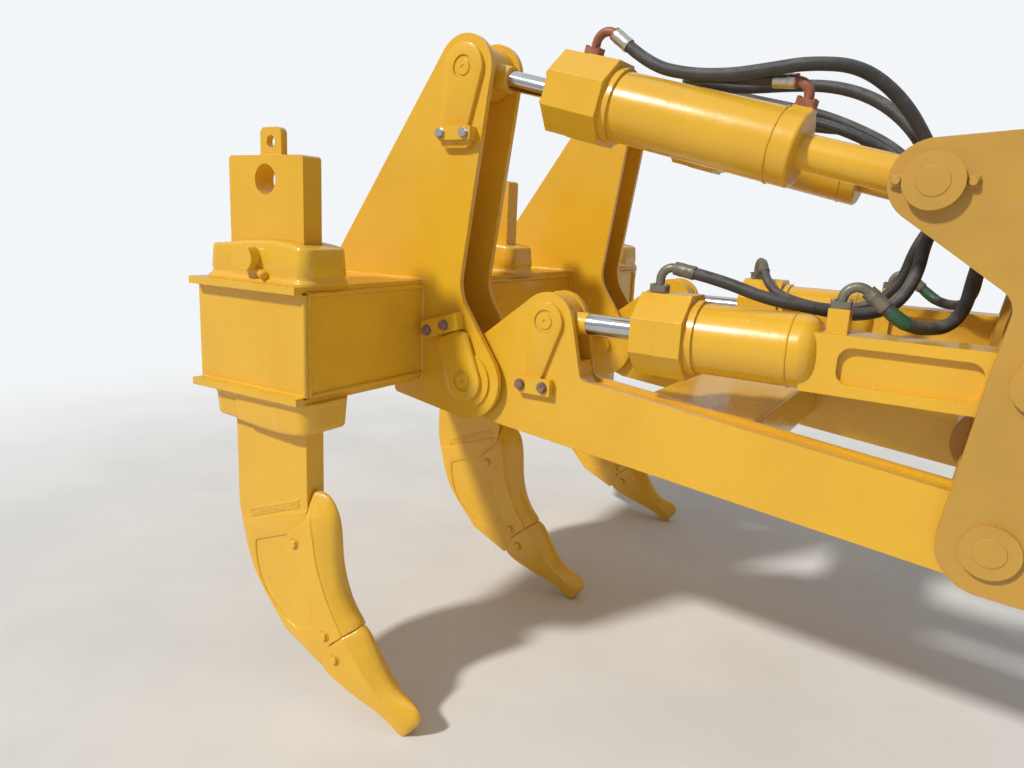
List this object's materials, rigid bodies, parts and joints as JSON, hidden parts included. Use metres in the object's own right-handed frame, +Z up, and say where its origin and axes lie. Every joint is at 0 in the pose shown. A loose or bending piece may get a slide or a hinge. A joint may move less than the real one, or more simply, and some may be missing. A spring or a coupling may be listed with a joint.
{
  "type": "three-shank parallelogram ripper",
  "caption": "Tractor-mounted rear ripper: lower link frame, tilt and lift cylinders, and a box beam that carries curved shanks with wear shields and tips.",
  "frame": {"origin": "centre plane, on the face of the mounting plate that meets the tractor", "axes": "+X forward, out of the mounting face; +Y left; +Z up"},
  "size_m": [2.795, 2.7244, 2.3965],
  "materials": {
    "yellow_paint": "glossy machine enamel, brushed over old metal",
    "cast_yellow": "the same enamel on cast and forged steel",
    "chrome_rod": "ground and hard-chromed",
    "hose_rubber": "dusty black",
    "steel_fitting": "primed and plated hydraulic fittings"
  },
  "bodies": {
    "bracket": {"bracket_cheek_left_inner": "yellow_paint", "bracket_cheek_left_outer": "yellow_paint", "bracket_cheek_right_inner": "yellow_paint", "bracket_cheek_right_outer": "yellow_paint", "bracket_cross_tube": "yellow_paint", "hose_bulkheads": "steel_fitting", "lift_base_pins": "yellow_paint", "link_front_pins": "yellow_paint", "mounting_plate": "yellow_paint", "tilt_base_pins": "yellow_paint"},
    "lower_link": {"lift_rod_pins": "yellow_paint", "link_arm_left": "yellow_paint", "link_arm_right": "yellow_paint", "link_cross_member": "yellow_paint", "lug_pin_keepers": "yellow_paint"},
    "rear_pins": {"link_rear_pins": "yellow_paint"},
    "ripper": {"mast_left_inner": "yellow_paint", "mast_left_outer": "yellow_paint", "mast_pin_keepers": "yellow_paint", "mast_right_inner": "yellow_paint", "mast_right_outer": "yellow_paint", "mast_webs": "yellow_paint", "pocket_centre": "yellow_paint", "pocket_left": "yellow_paint", "pocket_right": "yellow_paint", "ripper_beam": "yellow_paint", "shank_centre": "yellow_paint", "shank_left": "yellow_paint", "shank_pins": "yellow_paint", "shank_right": "yellow_paint", "tilt_rod_pins": "yellow_paint", "tip_centre": "cast_yellow", "tip_left": "cast_yellow", "tip_right": "cast_yellow", "wear_shield_centre": "cast_yellow", "wear_shield_left": "cast_yellow", "wear_shield_right": "cast_yellow"},
    "tilt_barrel_left": {"tilt_barrel_left": "yellow_paint", "tilt_hose_base_left": "hose_rubber", "tilt_hose_head_left": "hose_rubber", "tilt_ports_left": "steel_fitting"},
    "tilt_rod_left": {"tilt_rod_left": "chrome_rod"},
    "tilt_barrel_right": {"tilt_barrel_right": "yellow_paint", "tilt_hose_base_right": "hose_rubber", "tilt_hose_head_right": "hose_rubber", "tilt_ports_right": "steel_fitting"},
    "tilt_rod_right": {"tilt_rod_right": "chrome_rod"},
    "lift_barrel_left": {"lift_barrel_left": "yellow_paint", "lift_hose_base_left": "hose_rubber", "lift_hose_head_left": "hose_rubber", "lift_ports_left": "steel_fitting"},
    "lift_rod_left": {"lift_rod_left": "chrome_rod"},
    "lift_barrel_right": {"lift_barrel_right": "yellow_paint", "lift_hose_base_right": "hose_rubber", "lift_hose_head_right": "hose_rubber", "lift_ports_right": "steel_fitting"},
    "lift_rod_right": {"lift_rod_right": "chrome_rod"}
  },
  "joints": [
    {"name": "lift", "type": "hinge", "parent": "bracket", "child": "lower_link", "pos_m": [-0.3, 0, -0.45], "axis": [0, 1, 0], "range_deg": [-22, 25]},
    {"name": "level", "type": "hinge", "parent": "lower_link", "child": "rear_pins", "pos_m": [-2.05, 0, -0.235], "axis": [0, 1, 0], "range_deg": [-19.75, 17.44]},
    {"name": "tilt", "type": "hinge", "parent": "rear_pins", "child": "ripper", "pos_m": [-2.05, 0, -0.235], "axis": [0, 1, 0], "range_deg": [-12, 8]},
    {"name": "tilt_swing_left", "type": "hinge", "parent": "bracket", "child": "tilt_barrel_left", "pos_m": [-0.567, 0, 0.513], "axis": [0, 1, 0], "range_deg": [-26.13, 29.62], "deforming": ["tilt_hose_base_left", "tilt_hose_head_left"]},
    {"name": "tilt_slide_left", "type": "slide", "parent": "tilt_barrel_left", "child": "tilt_rod_left", "axis": [-0.9709, 0, 0.2395], "range_m": [-0.1551, 0.2301]},
    {"name": "tilt_swing_right", "type": "hinge", "parent": "bracket", "child": "tilt_barrel_right", "pos_m": [-0.567, 0, 0.513], "axis": [0, 1, 0], "range_deg": [-26.13, 29.62], "deforming": ["tilt_hose_base_right", "tilt_hose_head_right"]},
    {"name": "tilt_slide_right", "type": "slide", "parent": "tilt_barrel_right", "child": "tilt_rod_right", "axis": [-0.9709, 0, 0.2395], "range_m": [-0.1551, 0.2301]},
    {"name": "lift_swing_left", "type": "hinge", "parent": "bracket", "child": "lift_barrel_left", "pos_m": [-0.25, 0, 0.01], "axis": [0, 1, 0], "range_deg": [-22.06, 25], "deforming": ["lift_hose_base_left", "lift_hose_head_left"]},
    {"name": "lift_slide_left", "type": "slide", "parent": "lift_barrel_left", "child": "lift_rod_left", "axis": [-1, 0, 0.0068], "range_m": [-0.204, 0.1801]},
    {"name": "lift_swing_right", "type": "hinge", "parent": "bracket", "child": "lift_barrel_right", "pos_m": [-0.25, 0, 0.01], "axis": [0, 1, 0], "range_deg": [-22.06, 25], "deforming": ["lift_hose_base_right", "lift_hose_head_right"]},
    {"name": "lift_slide_right", "type": "slide", "parent": "lift_barrel_right", "child": "lift_rod_right", "axis": [-1, 0, 0.0068], "range_m": [-0.204, 0.1801]}
  ],
  "couplings": [
    {"joint": "level", "follows": "lift", "ratio": -0.77},
    {"joint": "tilt_swing_left", "follows": "lift", "ratio": 1.165},
    {"joint": "tilt_slide_left", "follows": "tilt", "m_per_rad": -1.075},
    {"joint": "tilt_swing_right", "follows": "lift", "ratio": 1.165},
    {"joint": "tilt_slide_right", "follows": "tilt", "m_per_rad": -1.075},
    {"joint": "lift_swing_left", "follows": "lift", "ratio": 0.98},
    {"joint": "lift_slide_left", "follows": "lift", "m_per_rad": -0.456},
    {"joint": "lift_swing_right", "follows": "lift", "ratio": 0.98},
    {"joint": "lift_slide_right", "follows": "lift", "m_per_rad": -0.456}
  ]
}
